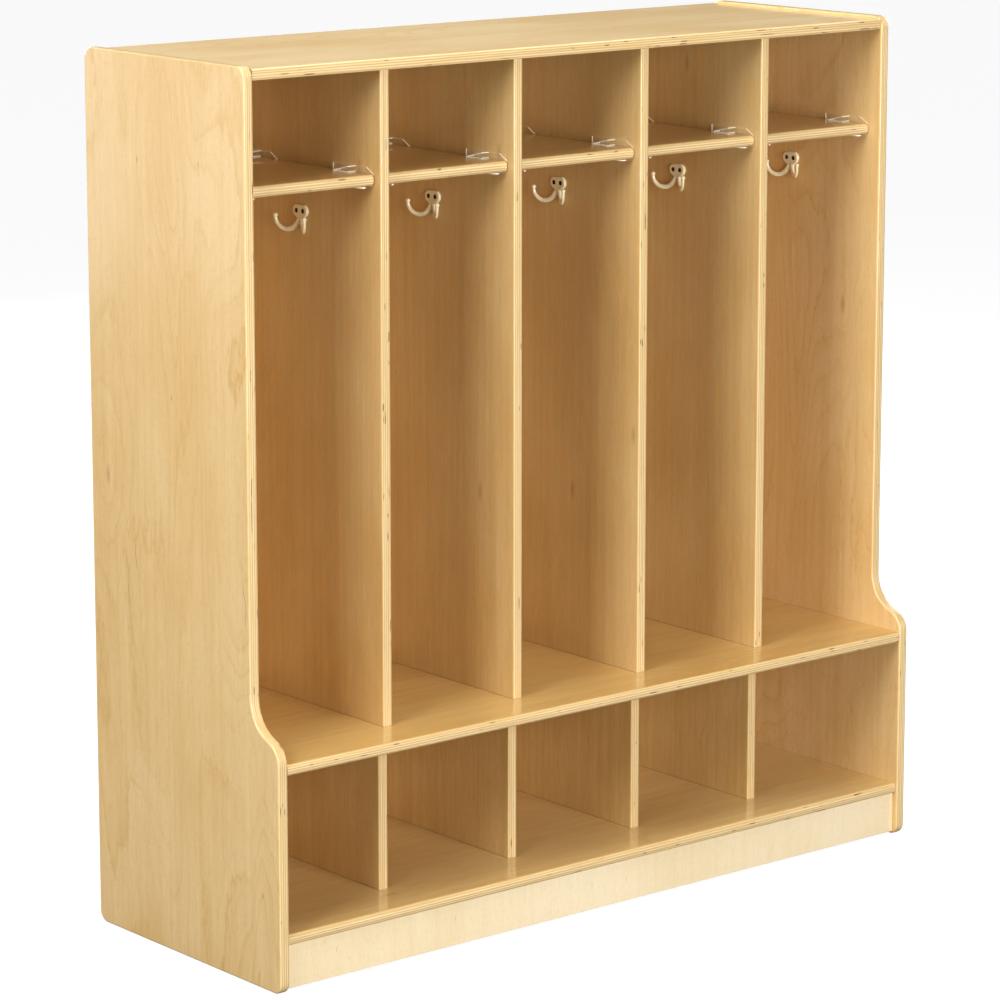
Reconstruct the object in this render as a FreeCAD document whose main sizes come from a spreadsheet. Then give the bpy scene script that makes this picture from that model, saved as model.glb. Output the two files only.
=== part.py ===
import FreeCAD, Part
import math
import os
import Sketcher

# A five-section school coat locker with a bench, in birch plywood. Millimetres, +Z up,
# the front looks along -Y, and the origin is on the floor under the middle of the locker.

doc = FreeCAD.newDocument("coat_locker")

# ---------------------------------------------------------------- driving dimensions
sheet = doc.addObject("Spreadsheet::Sheet", "Sizes")
DIMENSIONS = {
    # the case
    "overall_width": 1219.2,
    "side_height": 1282.7,
    "base_depth": 444.5,
    "upper_depth": 381.0,
    "board": 15.9,
    "sections": 5,
    # levels of the top faces above the floor
    "bench_level": 327.3,
    "floor_level": 83.0,
    "shelf_level": 1116.0,
    "hook_level": 1048.0,
    # how far pieces stop short of the side panels' edges
    "top_drop": 4.0,
    "top_set_back": 2.0,
    "bench_set_back": 1.5,
    "bottom_set_back": 3.5,
    "kick_set_back": 9.5,
    "kick_clearance": 4.6,
    "upper_divider_set_back": 11.0,
    "lower_divider_set_back": 86.5,
    "shelf_set_back": 24.0,
    # the side panels' outline: an S-curve where they step out to the bench
    "nose_radius": 32.0,
    "scoop_radius": 55.0,
    "step_slope": 24.0,
    "corner_radius": 16.0,
    # rounded edges
    "side_round": 3.0,
    "top_round": 3.0,
    "seat_round": 5.0,
    "board_round": 6.5,
    "divider_round": 2.5,
    # back panel
    "back_thickness": 6.0,
    "back_inset": 3.0,
    "rebate_width": 7.0,
    "back_bottom": 12.0,
    # loose shelves
    "shelf_end_gap": 2.2,
    "shelf_back_gap": 1.0,
    "slide_clearance": 0.3,
    # locking shelf clips
    "clip_web": 1.6,
    "clip_length": 92.0,
    "clip_front_gap": 2.0,
    "clip_back_gap": 29.5,
    "clip_lip": 9.0,
    "clip_nose_run": 16.2,
    "clip_ledge": 2.0,
    "clip_ledge_width": 24.0,
    "clip_corner_radius": 9.0,
    "clip_tab_front": 42.0,
    "clip_tab_back": 75.0,
    "clip_tab_width": 16.0,
    "clip_tab_rise": 9.0,
    "clip_tab_leaf": 1.4,
    "clip_tab_root": 5.6,
    "clip_peg_diameter": 5.0,
    "clip_peg_length": 6.5,
    "clip_peg_inset": 20.0,
    "clip_peg_spacing": 50.0,
    # coat hooks
    "hook_set_in": 187.0,
    "hook_plate": 4.0,
    "hook_lobe_radius": 9.0,
    "hook_screw_spacing": 15.0,
    "hook_tip_radius": 3.0,
    "hook_tip_drop": 12.4,
    "hook_plate_round": 1.4,
    "prong_spread": 58.0,
    "prong_reach": 40.0,
    "prong_bend_radius": 17.5,
    "prong_root_lead": 9.0,
    "prong_root_angle": 215.0,
    "prong_root_depth": 8.4,
    "prong_root_width": 6.4,
    "prong_end_depth": 5.0,
    "prong_end_width": 4.6,
    "prong_end_rise": 2.0,
    "prong_ball_drop": 8.0,
    "prong_ball_radius": 3.5,
    # dowels and screws
    "dowel_diameter": 8.0,
    "dowel_length": 30.0,
    "dowel_in_face": 10.0,
    "dowel_margin": 55.0,
    "base_dowel_margin": 15.0,
    "socket_clearance": 0.1,
    "screw_diameter": 3.5,
    "screw_head_diameter": 7.0,
    "screw_head_height": 2.2,
    "screw_slot_span": 4.2,
    "screw_slot_width": 0.8,
    "screw_slot_depth": 1.54,
    "back_screw_length": 16.0,
    "back_screw_low": 560.0,
    "back_screw_high": 1245.0,
    "hook_screw_length": 11.0,
    # how far a cutting shape runs past the face it cuts
    "overcut": 1.0,
}
for row, (alias, value) in enumerate(DIMENSIONS.items(), start=1):
    sheet.set(f"A{row}", alias)
    sheet.set(f"B{row}", str(value))
    sheet.setAlias(f"B{row}", alias)
doc.recompute()


def size(alias):
    """A driving dimension's value, read from the sheet."""
    return float(getattr(sheet, alias))


BOARD = size("board")
SECTIONS = int(size("sections"))
INNER_WIDTH = size("overall_width") - 2 * BOARD
CLEAR_WIDTH = (INNER_WIDTH - (SECTIONS - 1) * BOARD) / SECTIONS
PITCH = CLEAR_WIDTH + BOARD
REAR = size("base_depth") / 2
FRONT = -REAR
UPPER_FRONT = REAR - size("upper_depth")
BACK_FACE = REAR - size("back_inset") - size("back_thickness")
TOP_UNDERSIDE = size("side_height") - size("top_drop") - BOARD
BENCH_UNDERSIDE = size("bench_level") - BOARD
BOTTOM_UNDERSIDE = size("floor_level") - BOARD
SHELF_UNDERSIDE = size("shelf_level") - BOARD
SHELF_FRONT = UPPER_FRONT + size("shelf_set_back")

# The same levels and lines as expressions, so that every piece follows the sheet.
TOP_UNDERSIDE_X = "(Sizes.side_height - Sizes.top_drop - Sizes.board)"
BACK_FACE_X = "(Sizes.base_depth / 2 - Sizes.back_inset - Sizes.back_thickness)"
UPPER_FRONT_X = "(Sizes.base_depth / 2 - Sizes.upper_depth)"
FRONT_X = "(0 - Sizes.base_depth / 2)"
INNER_WIDTH_X = "(Sizes.overall_width - 2 * Sizes.board)"
LEFT_INNER_X = "(Sizes.board - Sizes.overall_width / 2)"
CLEAR_X = f"(({INNER_WIDTH_X} - (Sizes.sections - 1) * Sizes.board) / Sizes.sections)"

X_AXIS = FreeCAD.Vector(1, 0, 0)
Y_AXIS = FreeCAD.Vector(0, 1, 0)
Z_AXIS = FreeCAD.Vector(0, 0, 1)

sub_parts = {}
tools_for = {}


# ---------------------------------------------------------------- shared helpers
def place(thing, x="0", y="0", z="0"):
    """Binds a piece's position to the sheet."""
    for axis, expression in (("x", x), ("y", y), ("z", z)):
        thing.setExpression(f"Placement.Base.{axis}", expression)


def turn(direction):
    """The rotation that lays a piece's own Z axis along a direction."""
    return FreeCAD.Rotation(Z_AXIS, direction)


def primitive(kind, name, **sizes):
    """A Part primitive whose sizes are expressions."""
    thing = doc.addObject(kind, name)
    for prop, expression in sizes.items():
        thing.setExpression(prop, expression)
    return thing


def group(kind, name, members):
    """A compound or fusion of several pieces."""
    thing = doc.addObject(kind, name)
    setattr(thing, "Links" if kind == "Part::Compound" else "Shapes", members)
    return thing


def cut(name, base, tool):
    thing = doc.addObject("Part::Cut", name)
    thing.Base = base
    thing.Tool = tool
    return thing


def linked_copy(name, master, base, rotation):
    copy = doc.addObject("App::Link", name)
    copy.setLink(master)
    copy.Placement = FreeCAD.Placement(base, rotation)
    return copy


def keep(node, thing):
    """Names a finished sub-part."""
    thing.Label = node
    sub_parts[node] = thing


def new_body(name):
    return doc.addObject("PartDesign::Body", name)


def sketch_on(body, role):
    """A sketch on one of the body's own origin planes."""
    sketch = body.newObject("Sketcher::SketchObject", f"{body.Name}_sketch")
    plane = next(f for f in body.Origin.OriginFeatures if f.Role == role)
    sketch.AttachmentSupport = [(plane, "")]
    sketch.MapMode = "FlatFace"
    return sketch


def outline(sketch, corners):
    """Draws a closed outline of straight lines. Each corner is a pair of expressions. The
    corners start on a small ring, and their constraints then pull them into place."""
    ring_centre = FreeCAD.Vector(20, 20, 0)
    ring_radius = 10.0
    count = len(corners)
    start = []
    for i in range(count):
        angle = math.tau * i / count
        spoke = FreeCAD.Vector(math.cos(angle), math.sin(angle), 0)
        start.append(ring_centre + spoke * ring_radius)
    for i in range(count):
        sketch.addGeometry(Part.LineSegment(start[i], start[(i + 1) % count]), False)
    for i in range(count):
        sketch.addConstraint(Sketcher.Constraint("Coincident", i, 2, (i + 1) % count, 1))
    for i, corner in enumerate(corners):
        ways = (("DistanceX", -2, start[i].x), ("DistanceY", -1, start[i].y))
        for (kind, axis, value), expression in zip(ways, corner):
            if expression == "0":
                sketch.addConstraint(Sketcher.Constraint("PointOnObject", i, 1, axis))
            else:
                index = sketch.addConstraint(Sketcher.Constraint(kind, -1, 1, i, 1, value))
                sketch.setExpression(f"Constraints[{index}]", expression)


def pad(body, sketch, length):
    feature = body.newObject("PartDesign::Pad", f"{sketch.Name}_pad")
    feature.Profile = sketch
    feature.setExpression("Length", length)
    body.Tip = feature
    return feature


def round_edges(body, radius, wanted):
    """Rounds those edges of the body for which wanted(edge) is true."""
    doc.recompute()
    base = body.Tip
    names = [f"Edge{i}" for i, edge in enumerate(base.Shape.Edges, start=1) if wanted(edge)]
    feature = body.newObject("PartDesign::Fillet", f"{body.Name}_round_{radius}")
    feature.Base = (base, names)
    feature.setExpression("Radius", f"Sizes.{radius}")
    body.Tip = feature


def board(node, length, depth, height, x, y, z, rounding=None):
    """A rectangular board, with its front edges rounded if rounding names a radius."""
    body = new_body(f"{node}_blank")
    sketch = sketch_on(body, "XY_Plane")
    outline(sketch, [("0", "0"), (length, "0"), (length, depth), ("0", depth)])
    pad(body, sketch, height)
    if rounding:
        doc.recompute()
        box = body.Shape.BoundBox
        lies_along_x = box.XLength > box.ZLength

        def on_front(edge):
            extent = edge.BoundBox
            run = extent.XLength if lies_along_x else extent.ZLength
            return extent.YMax < 0.01 and run > 1

        round_edges(body, rounding, on_front)
    place(body, x, y, z)
    tools_for[node] = []
    keep(node, body)


# ---------------------------------------------------------------- case
def side_panel(node, inner_at_high_x):
    """A full-height side: deep at the base, stepping back above the bench in an S-curve."""
    depth = size("base_depth")
    upper = size("upper_depth")
    height = size("side_height")
    bench = size("bench_level")
    nose = size("nose_radius")
    scoop = size("scoop_radius")
    slope = math.radians(size("step_slope"))
    sweep = math.pi / 2 - slope

    # Front is at low sketch x. The nose arc ends at the bench's level.
    step = depth - upper
    straight = (step - (nose + scoop) * (1 - math.cos(sweep))) / math.sin(sweep)
    nose_top = FreeCAD.Vector(nose * (1 - math.cos(sweep)), bench + nose * math.sin(sweep), 0)
    scoop_foot = nose_top + FreeCAD.Vector(math.cos(slope), math.sin(slope), 0) * straight
    scoop_end = FreeCAD.Vector(step, scoop_foot.y + scoop * math.sin(sweep), 0)
    points = [
        FreeCAD.Vector(0, 0, 0),
        FreeCAD.Vector(0, bench, 0),
        nose_top,
        scoop_foot,
        scoop_end,
        FreeCAD.Vector(step, height, 0),
        FreeCAD.Vector(depth, height, 0),
        FreeCAD.Vector(depth, 0, 0),
    ]
    nose_circle = Part.Circle(FreeCAD.Vector(nose, bench, 0), Z_AXIS, nose)
    scoop_circle = Part.Circle(FreeCAD.Vector(step - scoop, scoop_end.y, 0), Z_AXIS, scoop)

    body = new_body(f"{node}_blank")
    sketch = sketch_on(body, "YZ_Plane")
    front, nose_arc, ramp, scoop_arc, upper_front, top, back, foot = sketch.addGeometry(
        [
            Part.LineSegment(points[0], points[1]),
            Part.ArcOfCircle(nose_circle, math.pi - sweep, math.pi),
            Part.LineSegment(points[2], points[3]),
            Part.ArcOfCircle(scoop_circle, -sweep, 0),
            Part.LineSegment(points[4], points[5]),
            Part.LineSegment(points[5], points[6]),
            Part.LineSegment(points[6], points[7]),
            Part.LineSegment(points[7], points[0]),
        ],
        False,
    )
    for first, end, second, begin in (
        (front, 2, nose_arc, 2),
        (nose_arc, 1, ramp, 1),
        (ramp, 2, scoop_arc, 1),
        (scoop_arc, 2, upper_front, 1),
    ):
        sketch.addConstraint(Sketcher.Constraint("Tangent", first, end, second, begin))
    for first, second in ((upper_front, top), (top, back), (back, foot), (foot, front)):
        sketch.addConstraint(Sketcher.Constraint("Coincident", first, 2, second, 1))
    for line in (front, upper_front, back):
        sketch.addConstraint(Sketcher.Constraint("Vertical", line))
    for line in (top, foot):
        sketch.addConstraint(Sketcher.Constraint("Horizontal", line))
    sketch.addConstraint(Sketcher.Constraint("Coincident", front, 1, -1, 1))
    for constraint, expression in (
        (Sketcher.Constraint("DistanceX", foot, 2, foot, 1, depth), "Sizes.base_depth"),
        (Sketcher.Constraint("DistanceX", top, 1, top, 2, upper), "Sizes.upper_depth"),
        (Sketcher.Constraint("DistanceY", back, 2, back, 1, height), "Sizes.side_height"),
        (Sketcher.Constraint("DistanceY", front, 1, front, 2, bench), "Sizes.bench_level"),
        (Sketcher.Constraint("Radius", nose_arc, nose), "Sizes.nose_radius"),
        (Sketcher.Constraint("Radius", scoop_arc, scoop), "Sizes.scoop_radius"),
    ):
        index = sketch.addConstraint(constraint)
        sketch.setExpression(f"Constraints[{index}]", expression)
    index = sketch.addConstraint(Sketcher.Constraint("Angle", -1, 1, ramp, 1, slope))
    sketch.setExpression(f"Constraints[{index}]", "Sizes.step_slope * 1 deg")
    pad(body, sketch, "Sizes.board")

    corners = [points[0], *points[5:]]

    def outline_corner(edge):
        middle = edge.CenterOfMass
        gaps = [math.hypot(middle.y - corner.x, middle.z - corner.y) for corner in corners]
        return edge.BoundBox.XLength > 1 and min(gaps) < 0.01

    round_edges(body, "corner_radius", outline_corner)
    round_edges(body, "side_round", lambda edge: edge.BoundBox.XLength < 0.01)
    if inner_at_high_x:
        outer_x = "(0 - Sizes.overall_width / 2)"
        rebate_x = f"({LEFT_INNER_X} - Sizes.rebate_width)"
    else:
        outer_x = "(Sizes.overall_width / 2 - Sizes.board)"
        rebate_x = f"(0 - {LEFT_INNER_X} - Sizes.board)"
    place(body, outer_x, FRONT_X, "0")
    keep(node, body)

    # A stopped rebate down the inner back edge takes the back panel.
    rebate = primitive(
        "Part::Box",
        f"{node}_rebate",
        Length="Sizes.rebate_width + Sizes.board",
        Width="Sizes.back_thickness + Sizes.back_inset + Sizes.overcut",
        Height=f"{TOP_UNDERSIDE_X} + Sizes.rebate_width - Sizes.back_bottom",
    )
    place(rebate, rebate_x, BACK_FACE_X, "Sizes.back_bottom")
    tools_for[node] = [rebate]


side_panel("left_side_panel", inner_at_high_x=True)
side_panel("right_side_panel", inner_at_high_x=False)

board(
    "top_panel",
    length=INNER_WIDTH_X,
    depth="Sizes.upper_depth - Sizes.top_set_back - Sizes.back_inset",
    height="Sizes.board",
    x=LEFT_INNER_X,
    y=f"{UPPER_FRONT_X} + Sizes.top_set_back",
    z=TOP_UNDERSIDE_X,
    rounding="top_round",
)
# The top panel laps over the back panel's upper edge.
top_rebate = primitive(
    "Part::Box",
    "top_panel_rebate",
    Length=INNER_WIDTH_X,
    Width="Sizes.back_thickness + Sizes.overcut",
    Height="Sizes.rebate_width",
)
place(top_rebate, LEFT_INNER_X, BACK_FACE_X, TOP_UNDERSIDE_X)
tools_for["top_panel"].append(top_rebate)

board(
    "back_panel",
    length=f"{INNER_WIDTH_X} + 2 * Sizes.rebate_width",
    depth="Sizes.back_thickness",
    height=f"{TOP_UNDERSIDE_X} + Sizes.rebate_width - Sizes.back_bottom",
    x=f"{LEFT_INNER_X} - Sizes.rebate_width",
    y=BACK_FACE_X,
    z="Sizes.back_bottom",
)
board(
    "bench_panel",
    length=INNER_WIDTH_X,
    depth=f"{BACK_FACE_X} - {FRONT_X} - Sizes.bench_set_back",
    height="Sizes.board",
    x=LEFT_INNER_X,
    y=f"{FRONT_X} + Sizes.bench_set_back",
    z="Sizes.bench_level - Sizes.board",
    rounding="seat_round",
)
board(
    "bottom_panel",
    length=INNER_WIDTH_X,
    depth=f"{BACK_FACE_X} - {FRONT_X} - Sizes.bottom_set_back",
    height="Sizes.board",
    x=LEFT_INNER_X,
    y=f"{FRONT_X} + Sizes.bottom_set_back",
    z="Sizes.floor_level - Sizes.board",
    rounding="board_round",
)
BASE_BOARD = {
    "length": INNER_WIDTH_X,
    "depth": "Sizes.board",
    "height": "Sizes.floor_level - Sizes.board - Sizes.kick_clearance",
    "x": LEFT_INNER_X,
    "z": "Sizes.kick_clearance",
}
board("kick_plate", y=f"{FRONT_X} + Sizes.kick_set_back", **BASE_BOARD)
board("rear_base_rail", y=f"{BACK_FACE_X} - Sizes.board", **BASE_BOARD)

for number in range(1, SECTIONS):
    divider_x = f"{LEFT_INNER_X} + {number} * {CLEAR_X} + {number - 1} * Sizes.board"
    board(
        f"upper_divider_{number}",
        length="Sizes.board",
        depth=f"{BACK_FACE_X} - {UPPER_FRONT_X} - Sizes.upper_divider_set_back",
        height=f"{TOP_UNDERSIDE_X} - Sizes.bench_level",
        x=divider_x,
        y=f"{UPPER_FRONT_X} + Sizes.upper_divider_set_back",
        z="Sizes.bench_level",
        rounding="divider_round",
    )
    board(
        f"lower_divider_{number}",
        length="Sizes.board",
        depth=f"{BACK_FACE_X} - {FRONT_X} - Sizes.lower_divider_set_back",
        height="Sizes.bench_level - Sizes.board - Sizes.floor_level",
        x=divider_x,
        y=f"{FRONT_X} + Sizes.lower_divider_set_back",
        z="Sizes.floor_level",
        rounding="divider_round",
    )

for number in range(1, SECTIONS + 1):
    board(
        f"shelf_{number}",
        length=f"{CLEAR_X} - 2 * Sizes.shelf_end_gap",
        depth=f"{BACK_FACE_X} - {UPPER_FRONT_X} - Sizes.shelf_back_gap - Sizes.shelf_set_back",
        height="Sizes.board",
        x=f"{LEFT_INNER_X} + {number - 1} * ({CLEAR_X} + Sizes.board) + Sizes.shelf_end_gap",
        y=f"{UPPER_FRONT_X} + Sizes.shelf_set_back",
        z="Sizes.shelf_level - Sizes.board",
        rounding="board_round",
    )


def section_left(number):
    """The x of a section's left wall, with sections numbered from 1 at the left."""
    return -INNER_WIDTH / 2 + (number - 1) * PITCH


def wall_nodes(number):
    """The boards that stand at the left and the right of a section's upper part."""
    left = "left_side_panel" if number == 1 else f"upper_divider_{number - 1}"
    right = "right_side_panel" if number == SECTIONS else f"upper_divider_{number}"
    return left, right


# ---------------------------------------------------------------- blind dowel joints
def socket(name, radius, length, start, direction):
    """A hole's volume: a cylinder from start along direction."""
    hole = primitive("Part::Cylinder", name, Radius=radius, Height=length)
    hole.Placement = FreeCAD.Placement(start, turn(direction))
    return hole


def dowel_joint(node, joints):
    """Glued dowels. A joint is a face board, an end board, a point on the joint line
    and the direction from the face board into the end board."""
    pegs = []
    for index, (face_board, end_board, point, direction) in enumerate(joints):
        start = point - direction * size("dowel_in_face")
        peg = primitive(
            "Part::Cylinder",
            f"{node}_{index}",
            Radius="Sizes.dowel_diameter / 2",
            Height="Sizes.dowel_length",
        )
        peg.Placement = FreeCAD.Placement(start, turn(direction))
        pegs.append(peg)
        hole = socket(
            f"{node}_socket_{index}",
            "Sizes.dowel_diameter / 2 + Sizes.socket_clearance",
            "Sizes.dowel_length + 2 * Sizes.socket_clearance",
            start - direction * size("socket_clearance"),
            direction,
        )
        tools_for[face_board].append(hole)
        tools_for[end_board].append(hole)
    keep(node, group("Part::Compound", node, pegs))


def side_joints(end_board, places):
    """The same dowel places at both ends of a board that spans the case."""
    return [
        (face_board, end_board, FreeCAD.Vector(-sign * INNER_WIDTH / 2, y, z), X_AXIS * sign)
        for face_board, sign in (("left_side_panel", 1), ("right_side_panel", -1))
        for y, z in places
    ]


def spread(front, back, margin, count):
    """Evenly spaced places between two lines, the outer two a margin in from them."""
    gap = (back - front - 2 * margin) / (count - 1)
    return [front + margin + gap * i for i in range(count)]


panel_rows = (
    ("top_panel", UPPER_FRONT, TOP_UNDERSIDE + BOARD / 2),
    ("bench_panel", FRONT, BENCH_UNDERSIDE + BOARD / 2),
    ("bottom_panel", FRONT, BOTTOM_UNDERSIDE + BOARD / 2),
)
for panel, front, level in panel_rows:
    places = [(y, level) for y in spread(front, REAR, size("dowel_margin"), 3)]
    dowel_joint(f"{panel}_dowels", side_joints(panel, places))
base_levels = spread(size("kick_clearance"), BOTTOM_UNDERSIDE, size("base_dowel_margin"), 2)
for panel, centre in (
    ("kick_plate", FRONT + size("kick_set_back") + BOARD / 2),
    ("rear_base_rail", BACK_FACE - BOARD / 2),
):
    dowel_joint(f"{panel}_dowels", side_joints(panel, [(centre, z) for z in base_levels]))

upper_joints = []
lower_joints = []
lower_front = FRONT + size("lower_divider_set_back")
for number in range(1, SECTIONS):
    x = section_left(number + 1) - BOARD / 2
    for y in spread(UPPER_FRONT, REAR, size("dowel_margin"), 2):
        divider = f"upper_divider_{number}"
        foot = FreeCAD.Vector(x, y, size("bench_level"))
        head = FreeCAD.Vector(x, y, TOP_UNDERSIDE)
        upper_joints.append(("bench_panel", divider, foot, Z_AXIS))
        upper_joints.append(("top_panel", divider, head, -Z_AXIS))
    for y in spread(lower_front, REAR, size("dowel_margin") + BOARD, 2):
        divider = f"lower_divider_{number}"
        foot = FreeCAD.Vector(x, y, size("floor_level"))
        head = FreeCAD.Vector(x, y, BENCH_UNDERSIDE)
        lower_joints.append(("bottom_panel", divider, foot, Z_AXIS))
        lower_joints.append(("bench_panel", divider, head, -Z_AXIS))
dowel_joint("upper_divider_dowels", upper_joints)
dowel_joint("lower_divider_dowels", lower_joints)


# ---------------------------------------------------------------- screws
def countersunk_screw(name, length):
    """A cross-drive wood screw, its flat head at z = 0 and its point down."""
    head = primitive(
        "Part::Cone",
        f"{name}_head",
        Radius1="Sizes.screw_diameter / 2",
        Radius2="Sizes.screw_head_diameter / 2",
        Height="Sizes.screw_head_height",
    )
    place(head, z="0 - Sizes.screw_head_height")
    shank = primitive(
        "Part::Cylinder",
        f"{name}_shank",
        Radius="Sizes.screw_diameter / 2",
        Height=f"Sizes.{length} - Sizes.screw_head_height - Sizes.screw_diameter",
    )
    place(shank, z=f"Sizes.screw_diameter - Sizes.{length}")
    point = primitive(
        "Part::Cone",
        f"{name}_point",
        Radius1="Sizes.screw_diameter / 12",
        Radius2="Sizes.screw_diameter / 2",
        Height="Sizes.screw_diameter",
    )
    place(point, z=f"0 - Sizes.{length}")
    slots = []
    span = "Sizes.screw_slot_span"
    width = "Sizes.screw_slot_width"
    for index, (length_x, length_y) in enumerate(((span, width), (width, span))):
        slot = primitive(
            "Part::Box",
            f"{name}_slot_{index}",
            Length=length_x,
            Width=length_y,
            Height="Sizes.screw_slot_depth + Sizes.overcut",
        )
        place(slot, f"0 - {length_x} / 2", f"0 - {length_y} / 2", "0 - Sizes.screw_slot_depth")
        slots.append(slot)
    solid = group("Part::MultiFuse", f"{name}_solid", [head, shank, point])
    return cut(name, solid, group("Part::MultiFuse", f"{name}_drive", slots))


def screw_hole(name, length):
    """The hole that such a screw fills, with the same origin as the screw."""
    clearance = "Sizes.socket_clearance / 2"
    head = primitive(
        "Part::Cone",
        f"{name}_head",
        Radius1=f"Sizes.screw_diameter / 2 + {clearance}",
        Radius2=f"Sizes.screw_head_diameter / 2 + {clearance}",
        Height="Sizes.screw_head_height",
    )
    place(head, z="0 - Sizes.screw_head_height")
    mouth = primitive(
        "Part::Cylinder",
        f"{name}_mouth",
        Radius=f"Sizes.screw_head_diameter / 2 + {clearance}",
        Height="Sizes.overcut",
    )
    shank = primitive(
        "Part::Cylinder",
        f"{name}_shank",
        Radius=f"Sizes.screw_diameter / 2 + {clearance}",
        Height=f"Sizes.{length} + Sizes.socket_clearance",
    )
    place(shank, z=f"0 - Sizes.{length} - Sizes.socket_clearance")
    return group("Part::MultiFuse", name, [head, mouth, shank])


def drive_screws(node, screw, hole, places):
    """Copies of a screw, and its hole in each board that it passes through."""
    copies = []
    for index, (head, outward, boards) in enumerate(places):
        copies.append(linked_copy(f"{node}_{index}", screw, head, turn(outward)))
        opening = linked_copy(f"{node}_hole_{index}", hole, head, turn(outward))
        for name in boards:
            tools_for[name].append(opening)
    keep(node, group("Part::Compound", node, copies))


back_screw = countersunk_screw("back_screw", "back_screw_length")
back_hole = screw_hole("back_screw_hole", "back_screw_length")
SCREWS_IN_UPRIGHT = 4
screw_levels = spread(size("back_screw_low"), size("back_screw_high"), 0, SCREWS_IN_UPRIGHT)
back_places = []
rear_face = REAR - size("back_inset")
for number in range(SECTIONS + 1):
    if number == 0:
        x, upper = -INNER_WIDTH / 2 - size("rebate_width") / 2, "left_side_panel"
    elif number == SECTIONS:
        x, upper = INNER_WIDTH / 2 + size("rebate_width") / 2, "right_side_panel"
    else:
        x, upper = section_left(number + 1) - BOARD / 2, f"upper_divider_{number}"
    for z in screw_levels:
        back_places.append((FreeCAD.Vector(x, rear_face, z), Y_AXIS, ("back_panel", upper)))
for number in range(1, SECTIONS + 1):
    x = section_left(number) + CLEAR_WIDTH / 2
    for panel, z in (
        ("bench_panel", BENCH_UNDERSIDE + BOARD / 2),
        ("bottom_panel", BOTTOM_UNDERSIDE + BOARD / 2),
    ):
        back_places.append((FreeCAD.Vector(x, rear_face, z), Y_AXIS, ("back_panel", panel)))
drive_screws("back_panel_screws", back_screw, back_hole, back_places)


# ---------------------------------------------------------------- coat hooks
def hook_plate(name):
    """The cast plate: two round lobes and a pointed chin, in the hook's own YZ plane."""
    lobe = size("hook_lobe_radius")
    tip = size("hook_tip_radius")
    half = size("hook_screw_spacing") / 2
    drop = size("hook_tip_drop")
    # The flank is the common tangent of a lobe and the chin.
    reach = math.hypot(half, drop)
    lean = math.atan2(half, drop)
    angle = math.asin((lobe - tip) / reach) - lean

    def on_circle(x, y, radius, direction):
        return FreeCAD.Vector(x + radius * math.cos(direction), y + radius * math.sin(direction), 0)

    right = [on_circle(half, 0, lobe, angle), on_circle(0, -drop, tip, angle)]
    left = [FreeCAD.Vector(-p.x, p.y, 0) for p in right]
    crown = [FreeCAD.Vector(half, lobe, 0), FreeCAD.Vector(-half, lobe, 0)]
    circle = [
        Part.Circle(FreeCAD.Vector(half, 0, 0), Z_AXIS, lobe),
        Part.Circle(FreeCAD.Vector(-half, 0, 0), Z_AXIS, lobe),
        Part.Circle(FreeCAD.Vector(0, -drop, 0), Z_AXIS, tip),
    ]
    body = new_body(f"{name}_plate")
    sketch = sketch_on(body, "YZ_Plane")
    sketch.addGeometry(
        [
            Part.ArcOfCircle(circle[0], angle, math.pi / 2),
            Part.LineSegment(crown[0], crown[1]),
            Part.ArcOfCircle(circle[1], math.pi / 2, math.pi - angle),
            Part.LineSegment(left[0], left[1]),
            Part.ArcOfCircle(circle[2], math.pi - angle, math.tau + angle),
            Part.LineSegment(right[1], right[0]),
        ],
        False,
    )
    for first, end, second, begin in (
        (0, 2, 1, 1),
        (1, 2, 2, 1),
        (2, 2, 3, 1),
        (3, 2, 4, 1),
        (4, 2, 5, 1),
        (5, 2, 0, 1),
    ):
        sketch.addConstraint(Sketcher.Constraint("Tangent", first, end, second, begin))
    sketch.addConstraint(Sketcher.Constraint("Equal", 0, 2))
    sketch.addConstraint(Sketcher.Constraint("PointOnObject", 0, 3, -1))
    sketch.addConstraint(Sketcher.Constraint("Symmetric", 0, 3, 2, 3, -1, 1))
    sketch.addConstraint(Sketcher.Constraint("PointOnObject", 4, 3, -2))
    for constraint, expression in (
        (Sketcher.Constraint("Radius", 0, lobe), "Sizes.hook_lobe_radius"),
        (Sketcher.Constraint("Radius", 4, tip), "Sizes.hook_tip_radius"),
        (Sketcher.Constraint("DistanceX", 2, 3, 0, 3, 2 * half), "Sizes.hook_screw_spacing"),
        (Sketcher.Constraint("DistanceY", 4, 3, -1, 1, drop), "Sizes.hook_tip_drop"),
    ):
        index = sketch.addConstraint(constraint)
        sketch.setExpression(f"Constraints[{index}]", expression)
    pad(body, sketch, "Sizes.hook_plate")
    outer_face = size("hook_plate")
    round_edges(body, "hook_plate_round", lambda edge: edge.BoundBox.XMin > outer_face - 0.01)
    return body


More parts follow.
